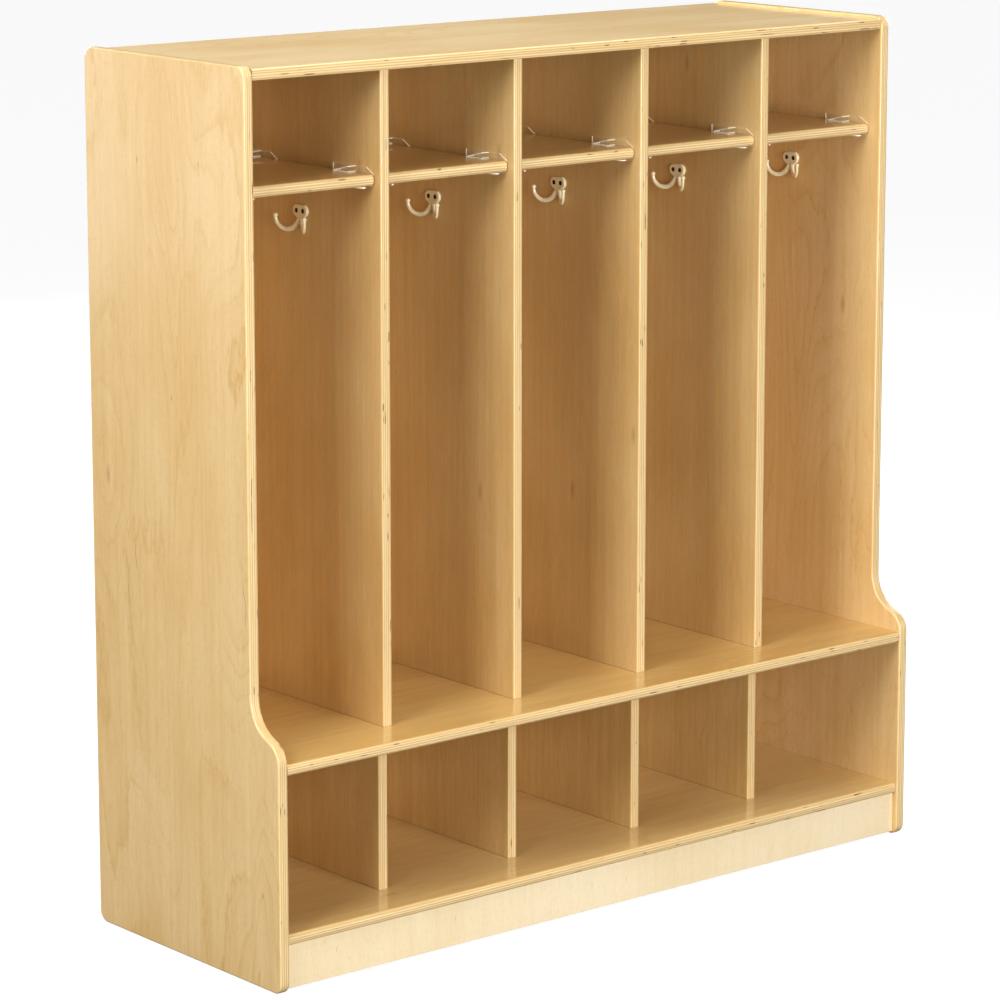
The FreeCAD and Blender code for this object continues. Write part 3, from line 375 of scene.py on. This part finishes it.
def birch(node, grain, through, number, tint, joint=None, marks=1.0, streaks=1.0, figure=1.0, plies=9.0):
    """Lacquered birch plywood for one board. grain and through are the way the face grain
    runs and the way the board is thick; joint is the way its glued ends face. number takes
    the board from its own place in the sheet. tint is the veneer's pale and deep colour.
    Returns the shader."""
    low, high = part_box(node)
    across = 3 - grain - through
    material = bpy.data.materials.new(f"birch_{node}")
    material.use_nodes = True
    tree = material.node_tree
    shader = tree.nodes["Principled BSDF"]
    coordinates = put(tree, "ShaderNodeTexCoord").outputs
    spot = put(tree, "ShaderNodeSeparateXYZ", {0: coordinates["Object"]}).outputs
    normal = put(tree, "ShaderNodeSeparateXYZ", {0: coordinates["Normal"]}).outputs
    depth_range = {"Value": spot[through], "From Min": low[through], "From Max": high[through]}
    depth = put(tree, "ShaderNodeMapRange", depth_range).outputs[0]
    far_face = reckon(tree, "ROUND", depth)
    shift = reckon(tree, "MULTIPLY_ADD", far_face, NEXT_FACE, NEXT_BOARD_ALONG * number)
    position = put(
        tree,
        "ShaderNodeCombineXYZ",
        {
            0: reckon(tree, "ADD", spot[grain], shift),
            1: reckon(tree, "ADD", spot[across], NEXT_BOARD_ACROSS * number),
            2: spot[through],
        },
    ).outputs[0]
    facing_parts = {0: normal[grain], 1: normal[across], 2: normal[through]}
    facing = put(tree, "ShaderNodeCombineXYZ", facing_parts).outputs[0]
    veneer = put(tree, "ShaderNodeGroup", node_tree=veneer_group)
    tree.links.new(position, veneer.inputs["Position"])
    veneer.inputs["Figure"].default_value = figure
    veneer.inputs["Marks"].default_value = marks
    veneer.inputs["Streaks"].default_value = streaks
    veneer.inputs["Pale"].default_value = (*tint[0], 1.0)
    veneer.inputs["Deep"].default_value = (*tint[1], 1.0)
    layers = put(tree, "ShaderNodeGroup", node_tree=ply_group)
    tree.links.new(position, layers.inputs["Position"])
    tree.links.new(facing, layers.inputs["Facing"])
    tree.links.new(depth, layers.inputs["Depth"])
    layers.inputs["Plies"].default_value = plies
    inside = layers.outputs["Inside"]
    colour = blend(tree, inside, veneer.outputs["Color"], layers.outputs["Color"])
    if joint is not None:
        middle = (low[joint] + high[joint]) / 2
        half = (high[joint] - low[joint]) / 2
        from_middle = reckon(tree, "ABSOLUTE", reckon(tree, "SUBTRACT", spot[joint], middle))
        # Dark band at the glued ends: partly glue line, partly painted shade in the crease.
        joint_line_and_shade = between(tree, from_middle, half - JOINT_LINE_AND_SHADE_WIDTH, half - JOINT_LINE_AND_SHADE_CORE)
        colour = blend(tree, reckon(tree, "MULTIPLY", joint_line_and_shade, 0.6), colour, JOINT_LINE_AND_SHADE_TONE)
    tree.links.new(colour, shader.inputs["Base Color"])
    height = put(
        tree,
        "ShaderNodeMix",
        {0: inside, 2: veneer.outputs["Height"], 3: layers.outputs["Height"]},
    ).outputs[0]
    relief = {"Height": height, "Strength": 0.12, "Distance": GRAIN_RELIEF}
    bump = put(tree, "ShaderNodeBump", relief)
    tree.links.new(bump.outputs[0], shader.inputs["Normal"])
    roughness = reckon(tree, "MULTIPLY_ADD", veneer.outputs["Height"], 0.10, 0.36)
    tree.links.new(roughness, shader.inputs["Roughness"])
    shader.inputs["Specular IOR Level"].default_value = 0.3
    shader.inputs["Coat Weight"].default_value = 0.6
    shader.inputs["Coat Roughness"].default_value = 0.15
    wear(node, material)
    return shader


def polished(shader):
    """A second coat of lacquer, for a board that is sat on, stood on or slid over."""
    shader.inputs["Coat Weight"].default_value = 1.0
    shader.inputs["Coat Roughness"].default_value = 0.07


SIDE_TINT = ((0.87, 0.61, 0.285), (0.81, 0.53, 0.215))
birch("left_side_panel", ALONG_Z, ALONG_X, 1, SIDE_TINT, streaks=0.9, figure=1.5)
birch("right_side_panel", ALONG_Z, ALONG_X, 2, SIDE_TINT, marks=0.25, figure=1.2)

# ---------------------------------------------------------------- top, bench and bottom
# Three boards that span the case between the sides, veneer grain running sideways. The
# bench and the bottom have had an extra coat, and shine.
TOP_TINT = ((0.85, 0.635, 0.335), (0.77, 0.525, 0.235))
# The bench and bottom tints are the veneer's colour deepened with painted shade, for the dim light
# inside the sections.
BENCH_TINT_WITH_PAINTED_SHADE = ((0.69, 0.445, 0.155), (0.60, 0.355, 0.105))
BOTTOM_TINT_WITH_PAINTED_SHADE = ((0.80, 0.55, 0.225), (0.71, 0.45, 0.16))
birch("top_panel", ALONG_X, ALONG_Z, 3, TOP_TINT, ALONG_X, marks=0.4)
bench = birch("bench_panel", ALONG_X, ALONG_Z, 4, BENCH_TINT_WITH_PAINTED_SHADE, ALONG_X, marks=0.3, streaks=1.3)
polished(bench)
bottom = birch("bottom_panel", ALONG_X, ALONG_Z, 5, BOTTOM_TINT_WITH_PAINTED_SHADE, ALONG_X, marks=0.3, streaks=1.3)
polished(bottom)

# ---------------------------------------------------------------- dividers
# Uprights doweled between the boards, upper ones nearly as deep as the sides and lower
# ones set well back from the bench's front.
# These tints are the veneer's colour deepened with painted shade, the upper ones most, for the dim light
# inside the sections.
UPPER_TINT_WITH_PAINTED_SHADE = ((0.72, 0.50, 0.22), (0.63, 0.40, 0.15))
LOWER_TINT_WITH_PAINTED_SHADE = ((0.79, 0.545, 0.225), (0.71, 0.455, 0.16))
for number in range(1, 5):
    birch(
        f"upper_divider_{number}",
        ALONG_Z,
        ALONG_X,
        5 + number,
        UPPER_TINT_WITH_PAINTED_SHADE,
        ALONG_Z,
        marks=0.5,
        streaks=1.25,
        figure=1.6,
    )
    birch(
        f"lower_divider_{number}",
        ALONG_Z,
        ALONG_X,
        9 + number,
        LOWER_TINT_WITH_PAINTED_SHADE,
        ALONG_Z,
        marks=0.5,
        streaks=1.5,
    )

# ---------------------------------------------------------------- kick plate, rail and back
# The kick plate is cut across a sheet, so its grain stands upright; its tint is the palest, partly
# painted light for the front lamps that fall full on it. The rail behind it and the thin back panel are
# plain, the back panel in the upper dividers' tint with its painted shade.
KICK_TINT_WITH_PAINTED_LIGHT = ((0.88, 0.74, 0.50), (0.83, 0.665, 0.41))
# Kick plate tint: veneer colour made paler with painted light.
birch("kick_plate", ALONG_Z, ALONG_Y, 14, KICK_TINT_WITH_PAINTED_LIGHT, ALONG_X, marks=0.4, streaks=0.45, figure=0.2)
birch("rear_base_rail", ALONG_X, ALONG_Y, 15, TOP_TINT, ALONG_X)
birch("back_panel", ALONG_Z, ALONG_Y, 16, UPPER_TINT_WITH_PAINTED_SHADE, plies=5.0)

# ---------------------------------------------------------------- shelves
# A loose board in each section that slides forward on its clips, its front edge rounded
# to a full nose. Lunch boxes are pushed in and out on it, so it has the second coat too.
for number in range(1, 6):
    # The shelves take the bench's tint, deepened with painted shade.
    shelf = birch(
        f"shelf_{number}",
        ALONG_X,
        ALONG_Z,
        16 + number,
        BENCH_TINT_WITH_PAINTED_SHADE,
        marks=0.3,
        streaks=1.3,
    )
    polished(shelf)

# ---------------------------------------------------------------- shelf clips
# Clear moulded clips, pegged to the walls: a web in the shelf's end gap, a ledge under it and a sprung
# V-shaped tab on top. Their thin edges are painted an opaque cream and given a painted glow, a painted
# highlight for the light their rims catch.
# The rims' extra opacity, paler cream and glow are painted highlights; the fine haze elsewhere is the
# plastic's own.
PAINTED_RIM_OPACITY = 0.62
PAINTED_RIM_GLOW = 0.28
clear_plastic = bpy.data.materials.new("clear_plastic")
clear_plastic.use_nodes = True
clear_tree = clear_plastic.node_tree
clear_shader = clear_tree.nodes["Principled BSDF"]
rim = put(clear_tree, "ShaderNodeAttribute", attribute_name="rim").outputs["Fac"]
clear_spot = put(clear_tree, "ShaderNodeTexCoord").outputs["Object"]
flow = stretched(clear_tree, clear_spot, 90.0, 40.0, 90.0)
flow = cloud(clear_tree, flow, 2.0, flat=False)
clear_and_painted_rim_colour = blend(clear_tree, rim, (0.90, 0.85, 0.70, 1.0), (0.97, 0.92, 0.80, 1.0))
clear_tree.links.new(clear_and_painted_rim_colour, clear_shader.inputs["Base Color"])
haze = reckon(clear_tree, "MULTIPLY_ADD", flow, 0.05, 0.01)
haze_and_painted_rim_opacity = reckon(clear_tree, "MULTIPLY_ADD", rim, PAINTED_RIM_OPACITY, haze)
clear_tree.links.new(haze_and_painted_rim_opacity, clear_shader.inputs["Alpha"])
clear_roughness = reckon(clear_tree, "MULTIPLY_ADD", flow, 0.15, 0.08)
clear_tree.links.new(clear_roughness, clear_shader.inputs["Roughness"])
# Painted glow on the rims: a painted highlight, the clip is no lamp.
painted_rim_glow_colour = blend(clear_tree, rim, (0.0, 0.0, 0.0, 1.0), (1.0, 0.90, 0.66, 1.0))
clear_tree.links.new(painted_rim_glow_colour, clear_shader.inputs["Emission Color"])
clear_shader.inputs["Emission Strength"].default_value = PAINTED_RIM_GLOW
clear_shader.inputs["Coat Weight"].default_value = 0.5
clear_shader.inputs["Coat Roughness"].default_value = 0.05

THIN = 0.0025
ARRIS = 0.0003
WELD = 1e-6
FLAT_ANGLE = math.radians(1.0)
CORNER_ANGLE = math.radians(40.0)
AIR_GAP = 0.00012
for number in range(1, 6):
    mould = bmesh.new()
    mould.from_mesh(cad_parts[f"shelf_clips_{number}"].data)
    bmesh.ops.remove_doubles(mould, verts=mould.verts, dist=WELD)
    bmesh.ops.dissolve_limit(mould, angle_limit=FLAT_ANGLE, verts=mould.verts, edges=mould.edges)
    corners = [edge for edge in mould.edges if edge.calc_face_angle(0.0) > CORNER_ANGLE]
    bmesh.ops.bevel(
        mould,
        geom=corners,
        offset=ARRIS,
        segments=2,
        profile=0.5,
        affect="EDGES",
        clamp_overlap=True,
    )
    mould.normal_update()
    for vertex in mould.verts:
        # A moulded clip sits a hair off the wood all round.
        vertex.co -= vertex.normal * AIR_GAP
    rim_layer = mould.faces.layers.float.new("rim")
    for face in mould.faces:
        longest = max(edge.calc_length() for edge in face.edges)
        face[rim_layer] = 1.0 if face.calc_area() / longest < THIN else 0.0
    mesh = bpy.data.meshes.new(f"clear_clips_{number}")
    mould.to_mesh(mesh)
    mould.free()
    mesh.materials.append(clear_plastic)
    clips = bpy.data.objects.new(f"clear_clips_{number}", mesh)
    scene.collection.objects.link(clips)
    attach(clips, "case")
    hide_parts(f"shelf_clips_{number}")

# ---------------------------------------------------------------- coat hooks
# Zinc castings with a screw plate and two prongs that end in balls, sprayed with glossy
# ivory paint that dried a little uneven.
ivory_paint = bpy.data.materials.new("ivory_paint")
ivory_paint.use_nodes = True
ivory_tree = ivory_paint.node_tree
ivory_shader = ivory_tree.nodes["Principled BSDF"]
ivory_spot = put(ivory_tree, "ShaderNodeTexCoord").outputs["Object"]
spray = stretched(ivory_tree, ivory_spot, 900.0, 900.0, 900.0)
spray = cloud(ivory_tree, spray, 2.0, flat=False)
mottle = stretched(ivory_tree, ivory_spot, 90.0, 90.0, 90.0)
mottle = cloud(ivory_tree, mottle, 3.0, flat=False)
ivory_colour = blend(
    ivory_tree,
    between(ivory_tree, mottle, 0.3, 0.7),
    (0.95, 0.86, 0.58, 1.0),
    (0.91, 0.81, 0.52, 1.0),
)
ivory_tree.links.new(ivory_colour, ivory_shader.inputs["Base Color"])
ivory_roughness = reckon(ivory_tree, "MULTIPLY_ADD", spray, 0.18, 0.24)
ivory_tree.links.new(ivory_roughness, ivory_shader.inputs["Roughness"])
ivory_relief = {"Height": spray, "Strength": 0.15, "Distance": 0.0003}
ivory_bump = put(ivory_tree, "ShaderNodeBump", ivory_relief)
ivory_tree.links.new(ivory_bump.outputs[0], ivory_shader.inputs["Normal"])
ivory_shader.inputs["Coat Weight"].default_value = 0.7
ivory_shader.inputs["Coat Roughness"].default_value = 0.12

for number in range(1, 6):
    for side in ("left", "right"):
        wear(f"coat_hook_{number}_{side}", ivory_paint)

# ---------------------------------------------------------------- screws
# Countersunk cross-drive wood screws with rolled threads: black ones in the hooks and
# yellow-zinc ones in the back panel, each where the case has its hole for one.
SCREW_RADIUS = 0.00175
SCREW_HEAD_RADIUS = 0.0035
SCREW_HEAD_HEIGHT = 0.0022
THREAD_PITCH = 0.0015
RECESS_SPAN = 0.0042
RECESS_WIDTH = 0.0008
RECESS_DEPTH = 0.0015
SCREW_SIDES = 24
THREAD_STEPS = 14


def shells(node):
    """The points of each separate solid in a CAD node."""
    solid = bmesh.new()
    solid.from_mesh(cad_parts[node].data)
    bmesh.ops.remove_doubles(solid, verts=solid.verts, dist=WELD)
    taken = set()
    found = []
    for first in solid.verts:
        if first in taken:
            continue
        taken.add(first)
        shell = [first]
        for vertex in shell:
            for edge in vertex.link_edges:
                neighbour = edge.other_vert(vertex)
                if neighbour not in taken:
                    taken.add(neighbour)
                    shell.append(neighbour)
        found.append([vertex.co.copy() for vertex in shell])
    solid.free()
    return found


def lie_of(points):
    """Middle, direction and length of a turned piece. The direction is towards its wider
    end, along X, Y or Z."""
    low = Vector([min(point[way] for point in points) for way in range(3)])
    high = Vector([max(point[way] for point in points) for way in range(3)])
    span = high - low
    middle = (low + high) / 2
    way = max(range(3), key=lambda axis: span[axis])

    def girth(level):
        """The piece's greatest radius at one end."""
        ring = [point - middle for point in points if abs(point[way] - level) < 10 * WELD]
        for point in ring:
            point[way] = 0.0
        return max(point.length for point in ring)

    direction = Vector((0.0, 0.0, 0.0))
    direction[way] = 1.0 if girth(high[way]) >= girth(low[way]) else -1.0
    return middle, direction, span[way]


def grown(name, tree, places, sizes, finish):
    """Runs a Geometry Nodes tree on points that each know their direction, and keeps what
    it makes as a plain mesh."""
    seeds = bpy.data.meshes.new(f"{name}_seeds")
    seeds.from_pydata([place for place, direction in places], [], [])
    seeds.materials.append(finish)
    outward = seeds.attributes.new("outward", "FLOAT_VECTOR", "POINT")
    for index, (place, direction) in enumerate(places):
        outward.data[index].vector = direction
    grower = bpy.data.objects.new(f"{name}_seeds", seeds)
    scene.collection.objects.link(grower)
    modifier = grower.modifiers.new(name, "NODES")
    modifier.node_group = tree
    for socket in tree.interface.items_tree:
        if socket.in_out == "INPUT" and socket.name in sizes:
            modifier[socket.identifier] = sizes[socket.name]
        if socket.in_out == "INPUT" and socket.name == "Finish":
            modifier[socket.identifier] = finish
    shown = grower.evaluated_get(bpy.context.evaluated_depsgraph_get())
    piece = bpy.data.objects.new(name, bpy.data.meshes.new_from_object(shown))
    grower.modifiers.remove(modifier)
    bpy.data.objects.remove(grower)
    bpy.data.meshes.remove(seeds)
    scene.collection.objects.link(piece)
    return piece


def on_points(tree, start, end, pattern):
    """Ends a tree: the pattern on each point, stood along its direction and spun by a
    random angle, then realised and given its finish."""
    outward = put(
        tree,
        "GeometryNodeInputNamedAttribute",
        {"Name": "outward"},
        data_type="FLOAT_VECTOR",
    )
    stand = put(tree, "FunctionNodeAlignRotationToVector", {"Vector": outward.outputs[0]}, axis="Z")
    chance = put(tree, "FunctionNodeRandomValue", {2: 0.0, 3: math.tau, "Seed": start.outputs["Seed"]})
    turn = put(tree, "FunctionNodeAxisAngleToRotation", {0: (0.0, 0.0, 1.0), 1: chance.outputs[1]})
    facing = put(
        tree,
        "FunctionNodeRotateRotation",
        {0: stand.outputs[0], 1: turn.outputs[0]},
        rotation_space="LOCAL",
    )
    inputs = {"Points": start.outputs["Places"], "Instance": pattern, "Rotation": facing.outputs[0]}
    spread = put(tree, "GeometryNodeInstanceOnPoints", inputs)
    real = put(tree, "GeometryNodeRealizeInstances", {0: spread.outputs[0]})
    finish = {"Geometry": real.outputs[0], "Material": start.outputs["Finish"]}
    tree.links.new(put(tree, "GeometryNodeSetMaterial", finish).outputs[0], end.inputs[0])


def turned(tree, stations, sides):
    """What a piece turned about Z is swept from: a line, the radius at each of its points
    and a ring. Stations are pairs of height and radius, top first."""
    line = put(tree, "GeometryNodeCurvePrimitiveLine").outputs[0]
    line = put(tree, "GeometryNodeResampleCurve", {"Curve": line, "Count": len(stations)}).outputs[0]
    index = put(tree, "GeometryNodeInputIndex").outputs[0]
    choices = []
    for column in (0, 1):
        choice = put(tree, "GeometryNodeIndexSwitch", data_type="FLOAT")
        while len(choice.index_switch_items) < len(stations):
            choice.index_switch_items.new()
        tree.links.new(index, choice.inputs[0])
        for number, station in enumerate(stations):
            socket = choice.inputs[number + 1]
            if isinstance(station[column], bpy.types.NodeSocket):
                tree.links.new(station[column], socket)
            else:
                socket.default_value = station[column]
        choices.append(choice.outputs[0])
    height = put(tree, "ShaderNodeCombineXYZ", {2: choices[0]}).outputs[0]
    line = put(tree, "GeometryNodeSetPosition", {"Geometry": line, "Position": height}).outputs[0]
    ring = put(tree, "GeometryNodeCurvePrimitiveCircle", {"Resolution": sides, "Radius": 1.0}).outputs[0]
    return line, choices[1], ring


def swept(tree, line, radius, ring):
    """A closed tube along a line, its ring scaled by the radius at each point."""
    line = put(tree, "GeometryNodeSetCurveRadius", {"Curve": line, "Radius": radius}).outputs[0]
    inputs = {"Curve": line, "Profile Curve": ring, "Fill Caps": True}
    tube = put(tree, "GeometryNodeCurveToMesh", inputs)
    if "Scale" in tube.inputs:
        tree.links.new(radius, tube.inputs["Scale"])
    return tube.outputs[0]


def make_screw_tree():
    """Wood screws, heads at the points and shanks the other way."""
    tree, start, end = new_group(
        "wood_screws",
        [
            ("Places", "NodeSocketGeometry", None),
            ("Length", "NodeSocketFloat", 0.016),
            ("Shank Radius", "NodeSocketFloat", SCREW_RADIUS),
            ("Head Radius", "NodeSocketFloat", SCREW_HEAD_RADIUS),
            ("Head Height", "NodeSocketFloat", SCREW_HEAD_HEIGHT),
            ("Pitch", "NodeSocketFloat", THREAD_PITCH),
            ("Seed", "NodeSocketInt", 1),
            ("Finish", "NodeSocketMaterial", None),
        ],
        [("Geometry", "NodeSocketGeometry")],
        "GeometryNodeTree",
    )
    length = start.outputs["Length"]
    radius = start.outputs["Shank Radius"]
    head_height = start.outputs["Head Height"]
    root_share, blunt_share, taper_share = 0.78, 0.12, 2.0
    root = reckon(tree, "MULTIPLY", radius, root_share)
    neck = reckon(tree, "MULTIPLY", head_height, -1.0)
    point = reckon(tree, "MULTIPLY", length, -1.0)
    taper = reckon(tree, "MULTIPLY_ADD", radius, taper_share, point)
    blunt = reckon(tree, "MULTIPLY", radius, blunt_share)
    stations = [(0.0, start.outputs["Head Radius"]), (neck, root), (taper, root), (point, blunt)]
    shank = swept(tree, *turned(tree, stations, SCREW_SIDES))
    cut = {"operation": "DIFFERENCE", "solver": "EXACT"}
    punched = put(tree, "GeometryNodeMeshBoolean", {0: shank}, **cut)
    for size in ((RECESS_SPAN, RECESS_WIDTH), (RECESS_WIDTH, RECESS_SPAN)):
        blade = put(tree, "GeometryNodeMeshCube", {"Size": (*size, 2 * RECESS_DEPTH)}).outputs[0]
        tree.links.new(blade, punched.inputs[1])
    run = reckon(tree, "SUBTRACT", neck, taper)
    turns = reckon(tree, "DIVIDE", run, start.outputs["Pitch"])
    helix_sizes = {
        "Resolution": THREAD_STEPS,
        "Rotations": turns,
        "Start Radius": root,
        "End Radius": root,
        "Height": run,
    }
    helix = put(tree, "GeometryNodeCurveSpiral", helix_sizes).outputs[0]
    drop = put(tree, "ShaderNodeCombineXYZ", {2: taper}).outputs[0]
    helix = put(tree, "GeometryNodeTransform", {"Geometry": helix, "Translation": drop}).outputs[0]
    crest = reckon(tree, "SUBTRACT", radius, root)
    ridge = put(tree, "GeometryNodeCurvePrimitiveCircle", {"Resolution": 3, "Radius": crest}).outputs[0]
    rolled = {"Curve": helix, "Profile Curve": ridge, "Fill Caps": True}
    thread = put(tree, "GeometryNodeCurveToMesh", rolled)
    screw = put(tree, "GeometryNodeJoinGeometry")
    for part in (punched.outputs[0], thread.outputs[0]):
        tree.links.new(part, screw.inputs[0])
    on_points(tree, start, end, screw.outputs[0])
    return tree


def metal(name, colour, roughness, grain):
    """Plated steel with a fine uneven finish."""
    material = bpy.data.materials.new(name)
    material.use_nodes = True
    tree = material.node_tree
    shader = tree.nodes["Principled BSDF"]
    spot = put(tree, "ShaderNodeTexCoord").outputs["Object"]
    film = cloud(tree, stretched(tree, spot, grain, grain, grain), 3.0, flat=False)
    dull = tuple(channel * 0.7 for channel in colour)
    tone = blend(tree, between(tree, film, 0.3, 0.7), (*colour, 1.0), (*dull, 1.0))
    tree.links.new(tone, shader.inputs["Base Color"])
    tree.links.new(reckon(tree, "MULTIPLY_ADD", film, 0.2, roughness), shader.inputs["Roughness"])
    shader.inputs["Metallic"].default_value = 1.0
    return material


screw_tree = make_screw_tree()
black_oxide = metal("black_oxide", (0.07, 0.062, 0.055), 0.3, 700.0)
yellow_zinc = metal("yellow_zinc", (0.72, 0.60, 0.36), 0.22, 500.0)
for node, finish, slot, seed in (
    ("hook_screws", black_oxide, "dark_screw_steel", 3),
    ("back_panel_screws", yellow_zinc, "zinc_screw_steel", 5),
):
    heads = []
    for shell in shells(node):
        middle, direction, length = lie_of(shell)
        heads.append((middle + direction * length / 2, direction))
    screws = grown(f"threaded_{node}", screw_tree, heads, {"Length": length, "Seed": seed}, finish)
    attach(screws, "case")
    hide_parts(node)

# ---------------------------------------------------------------- dowels
# Fluted beech pegs with chamfered ends, glued into blind sockets between the boards, out
# of sight. The flutes let air and spare glue out.
DOWEL_RADIUS = 0.004
DOWEL_CHAMFER = 0.0012
FLUTES = 18
FLUTE_DEPTH = 0.08
CHAMFER_SLOPE = 0.7


def make_dowel_tree():
    """Fluted dowels, each with its middle on a point."""
    tree, start, end = new_group(
        "fluted_dowels",
        [
            ("Places", "NodeSocketGeometry", None),
            ("Length", "NodeSocketFloat", 0.03),
            ("Radius", "NodeSocketFloat", DOWEL_RADIUS),
            ("Chamfer", "NodeSocketFloat", DOWEL_CHAMFER),
            ("Flutes", "NodeSocketInt", FLUTES),
            ("Flute Depth", "NodeSocketFloat", FLUTE_DEPTH),
            ("Seed", "NodeSocketInt", 1),
            ("Finish", "NodeSocketMaterial", None),
        ],
        [("Geometry", "NodeSocketGeometry")],
        "GeometryNodeTree",
    )
    radius = start.outputs["Radius"]
    top = reckon(tree, "MULTIPLY", start.outputs["Length"], 0.5)
    shoulder = reckon(tree, "SUBTRACT", top, start.outputs["Chamfer"])
    foot = reckon(tree, "MULTIPLY", top, -1.0)
    ankle = reckon(tree, "MULTIPLY", shoulder, -1.0)
    small = reckon(tree, "MULTIPLY_ADD", start.outputs["Chamfer"], -CHAMFER_SLOPE, radius)
    stations = [(top, small), (shoulder, radius), (ankle, radius), (foot, small)]
    line, radii, ring = turned(tree, stations, 2 * FLUTES)
    ring_points = reckon(tree, "MULTIPLY", start.outputs["Flutes"], 2.0)
    tree.links.new(ring_points, ring.node.inputs["Resolution"])
    count = put(tree, "GeometryNodeInputIndex").outputs[0]
    hollow = reckon(tree, "MULTIPLY", reckon(tree, "MODULO", count, 2.0), start.outputs["Flute Depth"])
    spot = put(tree, "GeometryNodeInputPosition").outputs[0]
    keep = reckon(tree, "SUBTRACT", 1.0, hollow)
    drawn_in = put(tree, "ShaderNodeVectorMath", {0: spot, "Scale": keep}, operation="SCALE").outputs[0]
    ring = put(tree, "GeometryNodeSetPosition", {"Geometry": ring, "Position": drawn_in}).outputs[0]
    on_points(tree, start, end, swept(tree, line, radii, ring))
    return tree


beech = bpy.data.materials.new("beech")
beech.use_nodes = True
beech_tree = beech.node_tree
beech_shader = beech_tree.nodes["Principled BSDF"]
beech_spot = put(beech_tree, "ShaderNodeTexCoord").outputs["Object"]
beech_grain = stretched(beech_tree, beech_spot, 400.0, 400.0, 400.0)
beech_grain = cloud(beech_tree, beech_grain, 4.0, flat=False)
beech_colour = blend(
    beech_tree,
    between(beech_tree, beech_grain, 0.3, 0.7),
    (0.68, 0.47, 0.27, 1.0),
    (0.56, 0.36, 0.19, 1.0),
)
beech_tree.links.new(beech_colour, beech_shader.inputs["Base Color"])
beech_shader.inputs["Roughness"].default_value = 0.65

dowel_nodes = [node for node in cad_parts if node.endswith("_dowels")]
pegs = []
for node in dowel_nodes:
    for shell in shells(node):
        middle, direction, length = lie_of(shell)
        pegs.append((middle, direction))
dowels = grown("fluted_dowels", make_dowel_tree(), pegs, {"Length": length, "Seed": 7}, beech)
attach(dowels, "case")
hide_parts(*dowel_nodes)
